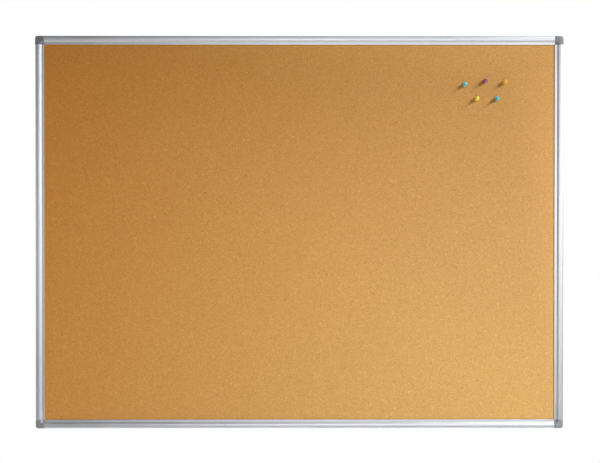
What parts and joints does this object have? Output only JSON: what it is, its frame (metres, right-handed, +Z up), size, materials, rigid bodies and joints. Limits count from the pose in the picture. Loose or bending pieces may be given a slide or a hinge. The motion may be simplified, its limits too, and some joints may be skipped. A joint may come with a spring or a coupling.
{
  "type": "cork bulletin board",
  "caption": "Framed cork bulletin board for a wall, with a hollow aluminium rail on each side, pull-off corner caps over the wall-screw holes and push pins that pull out.",
  "frame": {"origin": "middle of the four wall-screw holes, in the plane of the wall", "axes": "+X along the board's width to the right as seen from the front, +Z up, +Y into the wall, so the cork faces -Y"},
  "size_m": [1.2, 0.028, 0.892],
  "materials": {
    "cork": "matte",
    "softboard": "matte",
    "hardboard": "satin",
    "anodised_aluminium": "satin",
    "cap_plastic": "satin",
    "connector_plastic": "matte",
    "zinc_steel": "satin",
    "needle_steel": "polished",
    "pin_cyan": "gloss",
    "pin_purple": "gloss",
    "pin_orange": "gloss",
    "pin_yellow": "gloss"
  },
  "bodies": {
    "board": {"cork_sheet": "cork", "fibre_core": "softboard", "backing_sheet": "hardboard", "top_rail": "anodised_aluminium", "bottom_rail": "anodised_aluminium", "left_rail": "anodised_aluminium", "right_rail": "anodised_aluminium", "connector_top_left": "connector_plastic", "connector_top_right": "connector_plastic", "connector_bottom_left": "connector_plastic", "connector_bottom_right": "connector_plastic", "frame_screws": "zinc_steel"},
    "cap_top_left": {"cap_top_left": "cap_plastic"},
    "cap_top_right": {"cap_top_right": "cap_plastic"},
    "cap_bottom_left": {"cap_bottom_left": "cap_plastic"},
    "cap_bottom_right": {"cap_bottom_right": "cap_plastic"},
    "pin_1": {"pin_1_handle": "pin_cyan", "pin_1_needle": "needle_steel"},
    "pin_2": {"pin_2_handle": "pin_purple", "pin_2_needle": "needle_steel"},
    "pin_3": {"pin_3_handle": "pin_orange", "pin_3_needle": "needle_steel"},
    "pin_4": {"pin_4_handle": "pin_yellow", "pin_4_needle": "needle_steel"},
    "pin_5": {"pin_5_handle": "pin_cyan", "pin_5_needle": "needle_steel"}
  },
  "joints": [
    {"name": "cap_top_left_pull", "type": "slide", "parent": "board", "child": "cap_top_left", "axis": [0, -1, 0], "range_m": [0, 0.03]},
    {"name": "cap_top_right_pull", "type": "slide", "parent": "board", "child": "cap_top_right", "axis": [0, -1, 0], "range_m": [0, 0.03]},
    {"name": "cap_bottom_left_pull", "type": "slide", "parent": "board", "child": "cap_bottom_left", "axis": [0, -1, 0], "range_m": [0, 0.03]},
    {"name": "cap_bottom_right_pull", "type": "slide", "parent": "board", "child": "cap_bottom_right", "axis": [0, -1, 0], "range_m": [0, 0.03]},
    {"name": "pin_1_pull", "type": "slide", "parent": "board", "child": "pin_1", "axis": [0, -1, 0], "range_m": [0, 0.03]},
    {"name": "pin_2_pull", "type": "slide", "parent": "board", "child": "pin_2", "axis": [0, -1, 0], "range_m": [0, 0.03]},
    {"name": "pin_3_pull", "type": "slide", "parent": "board", "child": "pin_3", "axis": [0, -1, 0], "range_m": [0, 0.03]},
    {"name": "pin_4_pull", "type": "slide", "parent": "board", "child": "pin_4", "axis": [0, -1, 0], "range_m": [0, 0.03]},
    {"name": "pin_5_pull", "type": "slide", "parent": "board", "child": "pin_5", "axis": [0, -1, 0], "range_m": [0, 0.03]}
  ]
}
